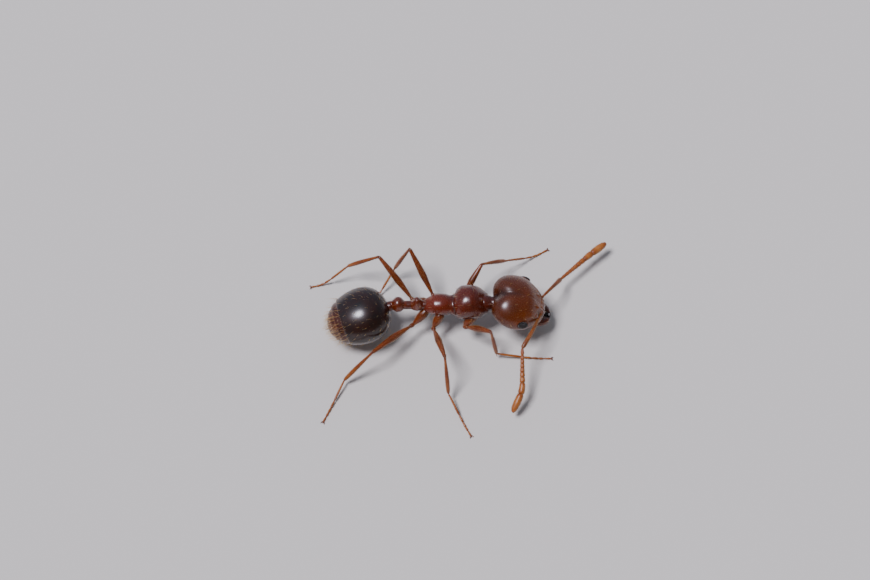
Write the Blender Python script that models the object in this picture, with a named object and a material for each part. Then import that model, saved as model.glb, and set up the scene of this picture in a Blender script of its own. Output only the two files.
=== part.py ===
"""Fire ant, a large (major) worker, standing on six feet: a still model at life size.

The ant faces +X, its left side is +Y and +Z is up. Everything is drawn in millimetres, with the waist near
the middle of the plan, and is brought to metres at the end, where the footprint's middle becomes the origin.
The body is modelled whole and parted with thin cuts. Legs and feelers are chains of round-ended rods, mitred
where they bend. They are kept about half a millimetre thick, which is thicker than the living limb.
"""

import math

import bmesh
import bpy
from mathutils import Matrix, Vector

MM = 0.001  # metres
GAP = 0.014  # between two touching pieces

# Head: its own frame is x to the jaws, y to the ant's left, z out of its top
HEAD_LENGTH = 1.44  # back of the head to the front edge of the face, without the jaws
HEAD_WIDTH = 1.46
HEAD_TOP = 0.50  # above the head's middle line
HEAD_BOTTOM = 0.43
HEAD_CENTRE = Vector((2.02, -0.01, 1.06))
HEAD_NOD = 24  # degrees, jaws down
HEAD_TURN = -4  # degrees, to the ant's left
OCCIPUT_NOTCH = 0.10
JAW_REACH = 0.27  # in front of the face
JAW_THICKNESS = 0.18
JAW_ROOT = 0.24  # how far the jaws start behind the edge of the face
JAW_DROP = -0.24  # their underside, below the head's middle line
JAW_SPREAD = 0.42  # half width of the pair where they leave the head
JAW_BITE = 0.012  # half the slit between them
JAW_TEETH = 4
JAW_TOOTH = 0.035
JAW_PITCH = 0.055
JAW_ROUND = 0.04
JAW_STEPS = 9
EYE = Vector((0.125, 0.06, 0.10))  # half length, half bulge, half height
EYE_PLACE = Vector((0.10, 0.656, 0.145))
EYE_TOE = 7  # degrees, forwards
EYE_TILT = 24  # degrees, upwards

# Trunk (mesosoma): stations run from its rear to the neck
TRUNK_REAR = -0.30
TRUNK_FRONT = 1.40
PRONOTUM_CUT = 0.98
GROOVE_CUT = 0.42

# Waist
PETIOLE_X = -0.40
POSTPETIOLE_X = -0.90
WAIST_Z = 1.01

# Gaster: its own frame is x to the tip, z out of its top
GASTER_LENGTH = 1.60
GASTER_WIDTH = 1.46
GASTER_HEIGHT = 1.24
GASTER_CENTRE = Vector((-1.87, -0.26, 0.82))
GASTER_DROOP = 14  # degrees, tip down
GASTER_TURN = 15  # degrees, tip to the ant's right
GASTER_CUTS = (0.50, 0.70, 0.86)  # joints between its rings, as shares of half its length past the middle
STING_LENGTH = 0.10

# Limbs
LIMB_RADIUS = 0.23
FOOT_SINK = 0.03  # how far a foot's rod is cut back to make its flat
COXA_TIP_Z = 0.60
SCAPE_LENGTH = 1.02
FUNICULUS_LENGTH = 1.02
CLUB_LENGTH = 0.50
CLUB_RADIUS = 0.25

# Lengths by pair of legs: coxa's foot-hold and tip along and across the trunk, then femur, tibia and tarsus
LEG_PAIRS = {
    "front": {"root": (0.92, 0.20), "tip": (0.68, 0.43), "femur": 0.94, "tibia": 0.90, "tarsus": 1.22},
    "mid": {"root": (0.26, 0.21), "tip": (-0.02, 0.43), "femur": 1.36, "tibia": 1.02, "tarsus": 1.00},
    "hind": {"root": (-0.12, 0.18), "tip": (-0.52, 0.34), "femur": 1.39, "tibia": 1.00, "tarsus": 1.00},
}
# The stance: heading (degrees from straight ahead, turning left) and rise of each length; a tarsus runs down
# to the floor
STANCE = {
    "leg_front_left": {"femur": (53, 34), "tibia": (36, -36), "tarsus": 31},
    "leg_mid_left": {"femur": (126, 40), "tibia": (178, -68), "tarsus": -128},
    "leg_hind_left": {"femur": (137, 32), "tibia": (172, -38), "tarsus": 192},
    "leg_front_right": {"femur": (-33, 34), "tibia": (-30, -77), "tarsus": -1},
    "leg_mid_right": {"femur": (-78, 28), "tibia": (-78, -59), "tarsus": -62},
    "leg_hind_right": {"femur": (-137, 10), "tibia": (-147, -36), "tarsus": -117},
}
FEELERS = {
    "antenna_left": {"side": 1, "scape": (56, -20), "funiculus": (44, -2), "club": (41, -4)},
    "antenna_right": {"side": -1, "scape": (-113, 5), "funiculus": (-92, -23), "club": (-118, -27)},
}
SOCKET = Vector((0.56, 0.24, 0.06))  # of a feeler, in the head's frame, on its left

MAHOGANY = ("mahogany cuticle", "5C1E0E", 0.28)
DARK = ("black cuticle", "1B1110", 0.20)
AMBER = ("amber cuticle", "8A4418", 0.32)
EYE_BLACK = ("eye", "120C0B", 0.25)
JAW_BROWN = ("jaw", "6B2A12", 0.30)


def smooth(low, high, value):
    """0 below low, 1 above high and an even S between them."""
    share = min(max((value - low) / (high - low), 0.0), 1.0)
    return share * share * (3.0 - 2.0 * share)


def squared(value, power):
    """Half height of a rounded box of unit size at a share of its half length: a power of 2 is a circle."""
    return (1.0 - min(abs(value), 1.0) ** power) ** (1.0 / power)


def direction(heading, rise):
    heading, rise = math.radians(heading), math.radians(rise)
    return Vector((math.cos(rise) * math.cos(heading), math.cos(rise) * math.sin(heading), math.sin(rise)))


def clear_scene():
    for thing in list(bpy.data.objects):
        bpy.data.objects.remove(thing, do_unlink=True)


def linear(channel):
    return channel / 12.92 if channel <= 0.04045 else ((channel + 0.055) / 1.055) ** 2.4


def material(name, colour, roughness):
    """A glossy cuticle of an sRGB colour given in hex."""
    found = bpy.data.materials.get(name)
    if found:
        return found
    made = bpy.data.materials.new(name)
    made.use_nodes = True
    shader = made.node_tree.nodes["Principled BSDF"]
    rgb = [linear(int(colour[i : i + 2], 16) / 255) for i in (0, 2, 4)]
    shader.inputs["Base Color"].default_value = (*rgb, 1)
    shader.inputs["Roughness"].default_value = roughness
    shader.inputs["Metallic"].default_value = 0
    made.diffuse_color = (*rgb, 1)
    return made


def shaped_ball(shape, sides, rings):
    """A ball whose poles lie on its x axis, each point moved to where shape(x, y, z) puts it."""
    ball = bmesh.new()
    bmesh.ops.create_uvsphere(ball, u_segments=sides, v_segments=rings, radius=1)
    bmesh.ops.rotate(ball, cent=(0, 0, 0), matrix=Matrix.Rotation(math.pi / 2, 3, "Y"), verts=ball.verts)
    for point in ball.verts:
        point.co = shape(*point.co)
    bmesh.ops.recalc_face_normals(ball, faces=ball.faces)
    return ball


def ellipsoid(centre, half, turn=None, sides=14, rings=8):
    ball = shaped_ball(lambda x, y, z: Vector((x * half[0], y * half[1], z * half[2])), sides, rings)
    ball.transform(Matrix.Translation(centre) @ (turn or Matrix.Identity(3)).to_4x4())
    return ball


def rod(start, end, start_radius, end_radius, sides=12):
    """A round-ended rod. The ball's two halves are drawn apart, so its middle band is the wall."""
    ball = bmesh.new()
    bmesh.ops.create_uvsphere(ball, u_segments=sides, v_segments=7, radius=1)
    along = end - start
    for point in ball.verts:
        if point.co.z > 0:
            point.co = point.co * end_radius + Vector((0, 0, along.length))
        else:
            point.co = point.co * start_radius
    ball.transform(Matrix.Translation(start) @ along.to_track_quat("Z", "Y").to_matrix().to_4x4())
    return ball


def cut(piece, point, normal):
    """Take away what lies beyond a plane, on the side that its normal points to, and close the cut."""
    everything = list(piece.verts) + list(piece.edges) + list(piece.faces)
    bmesh.ops.bisect_plane(piece, geom=everything, dist=1e-6, plane_co=point, plane_no=normal, clear_outer=True)
    rim = [edge for edge in piece.edges if edge.is_boundary]
    if rim:
        bmesh.ops.holes_fill(piece, edges=rim, sides=0)
    bmesh.ops.recalc_face_normals(piece, faces=piece.faces)


def part_object(name, piece, finish, collection):
    mesh = bpy.data.meshes.new(name)
    bmesh.ops.remove_doubles(piece, verts=piece.verts, dist=1e-5)
    piece.to_mesh(mesh)
    piece.free()
    mesh.shade_smooth()
    mesh.set_sharp_from_angle(angle=math.radians(35))
    mesh.materials.append(material(*finish))
    made = bpy.data.objects.new(name, mesh)
    collection.objects.link(made)
    return made


def swollen(source, amount):
    """A copy of an object, grown along its normals, to cut a neighbour with and leave a gap."""
    grown = bmesh.new()
    grown.from_mesh(source.data)
    bmesh.ops.recalc_face_normals(grown, faces=grown.faces)
    grown.normal_update()
    moves = [(point, point.normal * amount) for point in grown.verts]
    for point, move in moves:
        point.co += move
    mesh = bpy.data.meshes.new(source.name + "_cutter")
    grown.to_mesh(mesh)
    grown.free()
    cutter = bpy.data.objects.new(mesh.name, mesh)
    bpy.context.scene.collection.objects.link(cutter)
    return cutter


def carve(target, neighbours):
    """Cut the target back from its neighbours, so that it meets them and doesn't enter them."""
    for neighbour in neighbours:
        cutter = swollen(neighbour, GAP)
        boolean = target.modifiers.new("meet " + neighbour.name, "BOOLEAN")
        boolean.operation = "DIFFERENCE"
        boolean.solver = "EXACT"
        boolean.object = cutter
        bpy.context.view_layer.update()
        shaped = bpy.data.meshes.new_from_object(target.evaluated_get(bpy.context.evaluated_depsgraph_get()))
        target.modifiers.clear()
        old = target.data
        target.data = shaped
        bpy.data.meshes.remove(old)
        bpy.data.objects.remove(cutter, do_unlink=True)
        keep_largest(target)


def keep_largest(target):
    """Drop the slivers that a cut leaves loose."""
    work = bmesh.new()
    work.from_mesh(target.data)
    bmesh.ops.remove_doubles(work, verts=work.verts, dist=1e-4)
    bmesh.ops.dissolve_degenerate(work, edges=work.edges, dist=1e-4)
    unseen, islands = set(work.verts), []
    while unseen:
        island, queue = set(), [unseen.pop()]
        while queue:
            point = queue.pop()
            island.add(point)
            for edge in point.link_edges:
                other = edge.other_vert(point)
                if other in unseen:
                    unseen.discard(other)
                    queue.append(other)
        islands.append(island)
    islands.sort(key=len)
    for island in islands[:-1]:
        bmesh.ops.delete(work, geom=list(island), context="VERTS")
    work.to_mesh(target.data)
    work.free()


def head_matrix():
    turn = Matrix.Rotation(math.radians(HEAD_TURN), 4, "Z") @ Matrix.Rotation(math.radians(HEAD_NOD), 4, "Y")
    return Matrix.Translation(HEAD_CENTRE) @ turn


def head_shape(x, y, z):
    """Squarish from above, with a notched back and sides that draw in to the face, and lower at the front."""
    around = math.hypot(y, z) or 1.0
    girth = squared(x, 2.5)
    side = HEAD_WIDTH / 2 * girth * (1.0 - 0.26 * smooth(-0.15, 1.0, x))
    height = (HEAD_TOP * (1.0 - 0.34 * smooth(0.0, 1.0, x)) if z > 0 else HEAD_BOTTOM) * girth
    across = y / around * side
    notch = OCCIPUT_NOTCH * smooth(0.3, 1.0, -x) * math.exp(-((across / 0.24) ** 2))
    return Vector((x * HEAD_LENGTH / 2 + notch, across, z / around * height))


def build_head(collection):
    ball = shaped_ball(head_shape, 26, 17)
    ball.transform(head_matrix())
    head = part_object("head", ball, MAHOGANY, collection)
    pieces = []
    for side, word in ((1, "left"), (-1, "right")):
        mirror = Matrix.Diagonal((1, side, 1, 1))
        turn = Matrix.Rotation(math.radians(side * -EYE_TOE), 3, "Z")
        turn = turn @ Matrix.Rotation(math.radians(side * EYE_TILT), 3, "X")
        place = Vector((EYE_PLACE.x, side * EYE_PLACE.y, EYE_PLACE.z))
        ball = ellipsoid(place, EYE, turn, 16, 9)
        ball.transform(head_matrix())
        eye = part_object("eye_" + word, ball, EYE_BLACK, collection)
        pieces.append(eye)
        blade = jaw_blade()
        blade.transform(head_matrix() @ mirror)
        bmesh.ops.recalc_face_normals(blade, faces=blade.faces)
        pieces.append(part_object("mandible_" + word, blade, JAW_BROWN, collection))
    for piece in pieces:
        carve(piece, [head])
    return [head, *pieces]


def jaw_blade():
    """The left jaw: a thick blade that bows out from the cheek and closes on the middle line, where it bites."""
    root, tip = HEAD_LENGTH / 2 - JAW_ROOT, HEAD_LENGTH / 2 + JAW_REACH
    outline = []
    for step in range(JAW_STEPS + 1):
        angle = math.pi / 2 * step / JAW_STEPS
        bow = math.sin(angle) ** 1.15
        outline.append((root + (tip - root) * bow, JAW_SPREAD * math.cos(angle) ** 0.8 + JAW_BITE))
    for tooth in range(JAW_TEETH):
        for share, depth in ((0.35, JAW_TOOTH), (0.95, 0.0)):
            outline.append((tip - JAW_PITCH * (tooth + share), JAW_BITE + depth))
    outline.append((root, JAW_BITE))
    blade = bmesh.new()
    ring = [blade.verts.new((x, y, JAW_DROP)) for x, y in outline]
    raised = bmesh.ops.extrude_face_region(blade, geom=[blade.faces.new(ring)])["geom"]
    top = [point for point in raised if isinstance(point, bmesh.types.BMVert)]
    bmesh.ops.translate(blade, verts=top, vec=(0, 0, JAW_THICKNESS))
    bmesh.ops.recalc_face_normals(blade, faces=blade.faces)
    rims = [edge for edge in blade.edges if len({round(p.co.z, 6) for p in edge.verts}) == 1]
    outer = [edge for edge in rims if min(p.co.y for p in edge.verts) > JAW_BITE + JAW_TOOTH + JAW_ROUND]
    bmesh.ops.bevel(blade, geom=outer, offset=JAW_ROUND, segments=2, profile=0.5, affect="EDGES")
    return blade


def trunk_shape(x, y, z):
    """A high domed front, a groove across the back behind it, and a lower, narrower rear."""
    place = TRUNK_REAR + (x + 1) / 2 * (TRUNK_FRONT - TRUNK_REAR)
    around = math.hypot(y, z) or 1.0
    girth = squared(x, 3.2)
    front = smooth(0.34, 0.66, place)
    dip = math.exp(-(((place - GROOVE_CUT) / 0.08) ** 2))
    neck = smooth(1.06, 1.42, place)
    arch = smooth(0.30, 0.80, place) - 1.44 * smooth(0.82, 1.50, place)
    swell = 0.025 * math.exp(-(((place - 0.06) / 0.20) ** 2))
    side = (0.275 + 0.155 * front + 0.02 * smooth(0.7, 1.05, place)) * (1 - 0.30 * neck) - 0.035 * dip + swell
    top = 1.27 + 0.24 * arch - 0.07 * dip - 0.10 * smooth(0.02, 0.30, -place)
    low = 0.74 - 0.04 * front + 0.14 * neck
    middle = (top + low) / 2
    rise = (top - low) / 2 * girth
    return Vector((place, 0.02 * front + y / around * side * girth, middle + z / around * rise))


def build_trunk(collection):
    pieces = []
    stations = ((TRUNK_FRONT + 1, PRONOTUM_CUT), (PRONOTUM_CUT, GROOVE_CUT), (GROOVE_CUT, TRUNK_REAR - 1))
    for name, (ahead, behind) in zip(("pronotum", "mesothorax", "propodeum"), stations):
        ball = shaped_ball(trunk_shape, 24, 30)
        lean = Vector((1, 0, 0.25)).normalized()
        if ahead < TRUNK_FRONT:
            cut(ball, Vector((ahead - GAP / 2, 0, 1.25)), lean)
        if behind > TRUNK_REAR:
            cut(ball, Vector((behind + GAP / 2, 0, 1.25)), -lean)
        pieces.append(part_object(name, ball, MAHOGANY, collection))
    return pieces


def knot(place, half, stalk, size):
    """Girth of a round knot on a stalk, run together smoothly."""
    swell = size * math.sqrt(max(1.0 - (place / half) ** 2, 0.0))
    return (stalk**5 + swell**5) ** 0.2


def waist_form(middle, length, knot_place, knot_half, stalk, sizes):
    """The shape of one waist piece; sizes are its knot's half width, height over and depth under the middle line."""
    across, over, under = sizes

    def form(x, y, z):
        around = math.hypot(y, z) or 1.0
        girth = squared(x, 5.0)
        place = x * length / 2
        side = knot(place - knot_place, knot_half, stalk, across) * girth
        height = knot(place - knot_place, knot_half, stalk, over if z > 0 else under) * girth
        return middle + Vector((place, y / around * side, z / around * height))

    return form


def build_waist(collection, trunk, gaster):
    """The two knots of the waist: the first is taller and on a longer stalk, the second is wider."""
    first = waist_form(Vector((PETIOLE_X, 0, WAIST_Z - 0.04)), 0.54, -0.04, 0.17, 0.115, (0.165, 0.31, 0.12))
    middle = Vector((POSTPETIOLE_X, -0.01, WAIST_Z - 0.01))
    second = waist_form(middle, 0.48, 0.0, 0.17, 0.115, (0.20, 0.23, 0.16))
    petiole = part_object("petiole", shaped_ball(first, 16, 22), MAHOGANY, collection)
    postpetiole = part_object("postpetiole", shaped_ball(second, 16, 18), MAHOGANY, collection)
    carve(petiole, [trunk])
    carve(postpetiole, [petiole, gaster])
    return petiole, postpetiole


def gaster_matrix():
    turn = Matrix.Rotation(math.radians(180 + GASTER_TURN), 4, "Z") @ Matrix.Rotation(math.radians(GASTER_DROOP), 4, "Y")
    return Matrix.Translation(GASTER_CENTRE) @ turn


def gaster_shape(x, y, z):
    """An egg with its blunt end at the waist, and the sting's short point at its other end."""
    girth = squared(x, 2.15) * (1.0 - 0.13 * x)
    around = math.hypot(y, z) or 1.0
    return Vector((
        x * GASTER_LENGTH / 2 + STING_LENGTH * smooth(0.99, 1.0, x),
        y / around * girth * GASTER_WIDTH / 2,
        z / around * girth * GASTER_HEIGHT / 2,
    ))


def build_gaster(collection):
    edges = [-1.5, *GASTER_CUTS, 1.5]
    pieces = []
    for number, (ahead, behind) in enumerate(zip(edges, edges[1:]), 1):
        ball = shaped_ball(gaster_shape, 26, 18)
        if number > 1:
            cut(ball, Vector((ahead * GASTER_LENGTH / 2 + GAP / 2, 0, 0)), Vector((-1, 0, 0)))
        if number < len(GASTER_CUTS) + 1:
            cut(ball, Vector((behind * GASTER_LENGTH / 2 - GAP / 2, 0, 0)), Vector((1, 0, 0)))
        ball.transform(gaster_matrix())
        pieces.append(part_object("gaster_ring_%d" % number, ball, DARK, collection))
    return pieces


def limb(names, joints, radii, finish, collection, outward=0):
    """A chain of rods, mitred where they meet. Its first rod may be held to one side of the body."""
    made = []
    for index, name in enumerate(names):
        start, end = joints[index], joints[index + 1]
        piece = rod(start, end, radii[index], radii[index + 1])
        heading = (end - start).normalized()
        if index:
            mitre = (heading + (start - joints[index - 1]).normalized()).normalized()
            cut(piece, start + mitre * GAP / 2, -mitre)
        if index + 1 < len(names):
            mitre = (heading + (joints[index + 2] - end).normalized()).normalized()
            cut(piece, end - mitre * GAP / 2, mitre)
        cut(piece, Vector((0, 0, 0)), Vector((0, 0, -1)))
        if outward and not index:
            cut(piece, Vector((0, outward * GAP / 2, 0)), Vector((0, -outward, 0)))
        made.append(part_object(name, piece, finish, collection))
    return made


def leg_joints(pair, side, stance):
    """Root, coxa's tip, knee, ankle and foot of one leg."""
    root = Vector((pair["root"][0], side * pair["root"][1], COXA_TIP_Z + 0.20))
    tip = Vector((pair["tip"][0], side * pair["tip"][1], COXA_TIP_Z))
    knee = tip + direction(*stance["femur"]) * pair["femur"]
    ankle = knee + direction(*stance["tibia"]) * pair["tibia"]
    drop = math.degrees(math.asin((ankle.z - LIMB_RADIUS + FOOT_SINK) / pair["tarsus"]))
    foot = ankle + direction(stance["tarsus"], -drop) * pair["tarsus"]
    return [root, tip, knee, ankle, foot]


def build_legs(collection, body, gaster):
    """Each hip keeps to its own side of the body and gives way to the leg in front of it."""
    ahead = {"left": [], "right": []}
    for name, stance in STANCE.items():
        _, pair, side = name.split("_")
        outward = 1 if side == "left" else -1
        joints = leg_joints(LEG_PAIRS[pair], outward, stance)
        names = [name + "_" + word for word in ("coxa", "femur", "tibia", "tarsus")]
        made = limb(names, joints, [LIMB_RADIUS] * 5, AMBER, collection, outward)
        carve(made[0], body + ahead[side])
        carve(made[1], body + gaster)
        ahead[side] = made[:2]


def build_feelers(collection, face):
    for name, pose in FEELERS.items():
        socket = head_matrix() @ Vector((SOCKET.x, pose["side"] * SOCKET.y, SOCKET.z))
        elbow = socket + direction(*pose["scape"]) * SCAPE_LENGTH
        club = elbow + direction(*pose["funiculus"]) * FUNICULUS_LENGTH
        tip = club + direction(*pose["club"]) * CLUB_LENGTH
        names = [name + "_" + word for word in ("scape", "funiculus", "club")]
        radii = [LIMB_RADIUS, LIMB_RADIUS, LIMB_RADIUS, CLUB_RADIUS]
        made = limb(names, [socket, elbow, club, tip], radii, AMBER, collection)
        carve(made[0], face)


def settle(collection):
    """Bring the drawing to metres, with the middle of its footprint at the origin."""
    points = [point.co for thing in collection.objects for point in thing.data.vertices]
    low = Vector([min(point[axis] for point in points) for axis in range(3)])
    high = Vector([max(point[axis] for point in points) for axis in range(3)])
    middle = Vector(((low.x + high.x) / 2, (low.y + high.y) / 2, low.z))
    for thing in collection.objects:
        thing.data.transform(Matrix.Scale(MM, 4) @ Matrix.Translation(-middle))


def main():
    clear_scene()
    collection = bpy.data.collections.new("fire_ant")
    bpy.context.scene.collection.children.link(collection)
    face = build_head(collection)
    trunk = build_trunk(collection)
    carve(trunk[0], face[:1])
    gaster = build_gaster(collection)
    waist = build_waist(collection, trunk[2], gaster[0])
    build_legs(collection, [*trunk, *waist], gaster[:1])
    build_feelers(collection, face)
    settle(collection)


main()
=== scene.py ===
"""The looks of a fire ant, a large worker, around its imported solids.

Lengths are millimetres until a piece is finished, when it is brought to metres. The head has a frame of
its own (x to the jaws, y to the ant's left, z out of its top), and so has the gaster (x to the sting, z out
of its back).
"""

import math

import bpy
import numpy as np
from mathutils import Matrix, Vector


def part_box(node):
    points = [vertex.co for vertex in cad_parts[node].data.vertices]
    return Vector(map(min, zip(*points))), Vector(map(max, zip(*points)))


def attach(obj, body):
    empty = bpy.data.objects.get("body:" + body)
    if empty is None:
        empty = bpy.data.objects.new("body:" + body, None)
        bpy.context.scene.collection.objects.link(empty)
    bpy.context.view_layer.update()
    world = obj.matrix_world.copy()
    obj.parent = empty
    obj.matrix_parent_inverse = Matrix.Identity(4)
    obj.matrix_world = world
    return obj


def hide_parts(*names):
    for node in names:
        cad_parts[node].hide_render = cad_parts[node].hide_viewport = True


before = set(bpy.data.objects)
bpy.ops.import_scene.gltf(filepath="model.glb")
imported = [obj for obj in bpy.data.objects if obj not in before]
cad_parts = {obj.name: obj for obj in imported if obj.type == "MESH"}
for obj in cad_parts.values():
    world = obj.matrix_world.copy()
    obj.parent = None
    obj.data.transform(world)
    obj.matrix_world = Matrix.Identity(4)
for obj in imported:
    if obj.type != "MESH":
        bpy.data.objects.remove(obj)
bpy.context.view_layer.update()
MM = 0.001  # metres
BODY = "root"
SKIN_DEPTH = 0.012  # how far the shell lies inside the solids, for the down that covers it

# Head
HEAD_LENGTH = 1.44
HEAD_WIDTH = 1.46
HEAD_TOP = 0.50
HEAD_BOTTOM = 0.43
HEAD_CENTRE = Vector((2.02, -0.01, 1.06))
HEAD_NOD = 24  # degrees
HEAD_TURN = -4  # degrees
OCCIPUT_NOTCH = 0.10
SOCKET = (0.55, 0.235)  # of a feeler, along and across the face
EYE_PLACE = Vector((0.10, 0.656, 0.145))
EYE_TOE = 7  # degrees, forwards
EYE_TILT = 24  # degrees, upwards
LENS_RADIUS = 0.0088
JAW_PITCH = 0.060  # from tooth to tooth

# Trunk and waist
TRUNK_REAR = -0.30
TRUNK_FRONT = 1.40
PRONOTUM_SEAM = 0.98
GROOVE = 0.42
SEAM_LEAN = 0.25
PETIOLE_X = -0.40
POSTPETIOLE_X = -0.90
WAIST_Z = 1.01
STALK = 0.113  # half width of the waist between its knots

# Gaster
GASTER_LENGTH = 1.60
GASTER_WIDTH = 1.46
GASTER_HEIGHT = 1.24
GASTER_CENTRE = Vector((-1.87, -0.26, 0.82))
GASTER_DROOP = 14  # degrees
GASTER_TURN = 15  # degrees
GASTER_SEAMS = (0.50, 0.70, 0.86)  # rear edges of its plates, as shares of half its length past the middle

LEGS = [(pair, side) for pair in ("front", "mid", "hind") for side in ("left", "right")]
SIDES = {"left": 1, "right": -1}
NO_BOW = Vector((0, 0, 0))

# Patches of the coats' unwrap: the first of several for the gaster's plates, the legs and the feelers
PATCH = {"head": 0, "trunk": 1, "petiole": 2, "postpetiole": 3, "gaster": 4, "sting": 7, "eye": 9,
         "mouth": 10, "leg": 16, "feeler": 44, "claw": 62}
JAW_PATCH = {"left": 8, "right": 11}


# ---------------------------------------------------------------- curves of number
def smooth(low, high, value):
    share = np.clip((value - low) / (high - low), 0.0, 1.0)
    return share * share * (3.0 - 2.0 * share)


def squared(value, power):
    """Half height of a rounded box of unit size at a share of its half length."""
    return np.maximum(1.0 - np.minimum(np.abs(value), 1.0) ** power, 0.0) ** (1.0 / power)


def bell(value, width):
    """A smooth bump of height 1 round 0."""
    return np.exp(-((value / width) ** 2))


def window(value, low, high, edge):
    """1 between low and high, fading to 0 over an edge outside them."""
    return smooth(low - edge, low, value) * (1.0 - smooth(high, high + edge, value))


def off_axis(y, z):
    """Distance from the x axis, kept above 0 to be divided by."""
    return np.maximum(np.hypot(y, z), 1e-9)


# ---------------------------------------------------------------- where the solids are
def node_points(name):
    return points_of(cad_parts[name]) / MM


def meeting(one, other):
    """The joint between two solids: the middle of the rings of points where they face each other."""
    a, b = node_points(one), node_points(other)
    apart = np.linalg.norm(a[:, None] - b[None], axis=2)
    ring = 0.08  # a little over half the distance between neighbouring points of a ring
    return Vector((a[apart.min(1) < ring].mean(0) + b[apart.min(0) < ring].mean(0)) / 2)


def far_end(name, point):
    """The tip of a solid: its point that is farthest from a joint."""
    points = node_points(name)
    return Vector(points[np.linalg.norm(points - np.array(point), axis=1).argmax()])


# ---------------------------------------------------------------- modelling
def select_only(*things):
    bpy.ops.object.select_all(action="DESELECT")
    for thing in things:
        thing.select_set(True)
    bpy.context.view_layer.objects.active = things[0]


def points_of(thing, field="co"):
    flat = np.empty(len(thing.data.vertices) * 3)
    thing.data.vertices.foreach_get(field, flat)
    return flat.reshape(-1, 3)


def put_points(thing, points):
    thing.data.vertices.foreach_set("co", points.ravel())
    thing.data.update()


def ball(name, segments, rings):
    """A unit ball with its poles on the x axis, the blank of the long pieces."""
    bpy.ops.object.select_all(action="DESELECT")
    bpy.ops.mesh.primitive_uv_sphere_add(segments=segments, ring_count=rings, rotation=(0, math.pi / 2, 0))
    bpy.ops.object.transform_apply(location=False, rotation=True, scale=False)
    blank = bpy.context.object
    blank.name = name
    put_in_order(blank, segments, rings)
    return blank


def put_in_order(blank, segments, rings):
    """Number a ball's points and faces from ring to ring.

    The primitive numbers them afresh on each run, and the hairs strewn on them would follow.
    """
    x, y, z = points_of(blank).T
    ring = np.rint(np.arccos(np.clip(x, -1, 1)) / math.pi * rings).astype(int)
    step = np.rint(np.arctan2(z, y) / (2 * math.pi) * segments).astype(int) % segments
    step[(ring == 0) | (ring == rings)] = 0
    order = np.lexsort((step, ring))
    place = order.argsort()
    faces = []
    for face in blank.data.polygons:
        corners = [int(place[corner]) for corner in face.vertices]
        first = corners.index(min(corners))
        faces.append(corners[first:] + corners[:first])
    along = ring[order] * math.pi / rings
    around = step[order] * 2 * math.pi / segments
    points = np.column_stack((np.cos(along), np.sin(along) * np.cos(around), np.sin(along) * np.sin(around)))
    blank.data.clear_geometry()
    blank.data.from_pydata(points.tolist(), [], sorted(faces))


def even_ball(name, cuts):
    """A unit ball of even squares, the blank of the broad pieces."""
    bpy.ops.object.select_all(action="DESELECT")
    bpy.ops.mesh.primitive_cube_add(size=2)
    blank = bpy.context.object
    blank.name = name
    bpy.ops.object.mode_set(mode="EDIT")
    bpy.ops.mesh.select_all(action="SELECT")
    bpy.ops.mesh.subdivide(number_cuts=cuts)
    bpy.ops.transform.tosphere(value=1)
    bpy.ops.object.mode_set(mode="OBJECT")
    points = points_of(blank)
    put_points(blank, points / np.linalg.norm(points, axis=1)[:, None])
    return blank


def remember(thing, patch, growth=1.0):
    """Keep each point's place on its blank, with its patch of the coats' unwrap, its tone and growth."""
    count = len(thing.data.vertices)
    keep(thing, "place", points_of(thing))
    keep(thing, "lie", np.zeros((count, 3)))
    thing.data.attributes.new("patch", "INT", "POINT").data.foreach_set("value", [patch] * count)
    keep(thing, "tone", np.full(count, 0.5))
    keep(thing, "growth", np.full(count, growth))


def keep(thing, name, values):
    """Store a number or a vector at each point. Tone is how pale the shell is, growth how thickly hairs stand
    on it, from 0 to 1, and lie the way that the hairs point."""
    attributes = thing.data.attributes
    single = values.ndim == 1
    found = attributes.get(name) or attributes.new(name, "FLOAT" if single else "FLOAT_VECTOR", "POINT")
    flat = np.clip(values, 0, 1) if single else values.ravel()
    found.data.foreach_set("value" if single else "vector", flat.astype(np.float32))


def kept(thing, name):
    """What keep stored at each point."""
    found = thing.data.attributes[name]
    count = len(thing.data.vertices)
    if found.data_type == "FLOAT_VECTOR":
        flat = np.empty(count * 3, np.float32)
        found.data.foreach_get("vector", flat)
        return flat.reshape(-1, 3).astype(float)
    flat = np.empty(count, np.int32 if found.data_type == "INT" else np.float32)
    found.data.foreach_get("value", flat)
    return flat


def shape(thing, form):
    put_points(thing, form(points_of(thing)))


def emboss(thing, relief):
    """Raise or sink each point along its normal, by what relief(points) says."""
    points = points_of(thing)
    put_points(thing, points + points_of(thing, "normal") * relief(points)[:, None])


def recalculate(thing):
    """Turn all the faces of a closed piece outwards."""
    select_only(thing)
    bpy.ops.object.mode_set(mode="EDIT")
    bpy.ops.mesh.select_all(action="SELECT")
    bpy.ops.mesh.normals_make_consistent(inside=False)
    bpy.ops.object.mode_set(mode="OBJECT")


def move(thing, matrix):
    thing.data.transform(matrix)
    thing.data.update()


def sink(thing, depth):
    """Draw the shell in along its normals."""
    emboss(thing, lambda points: np.full(len(points), -depth))


def join(name, things):
    select_only(*things)
    bpy.ops.object.join()
    things[0].name = name
    things[0].data.name = name
    return things[0]


def finish_piece(thing, material, nodes=()):
    """Bring a piece to metres, shade it, give it its material, hang it on the body and hide its solids."""
    select_only(thing)
    thing.data.transform(Matrix.Scale(MM, 4))
    thing.data.materials.append(material)
    bpy.ops.object.shade_smooth()
    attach(thing, BODY)
    if nodes:
        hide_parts(*nodes)


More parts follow.
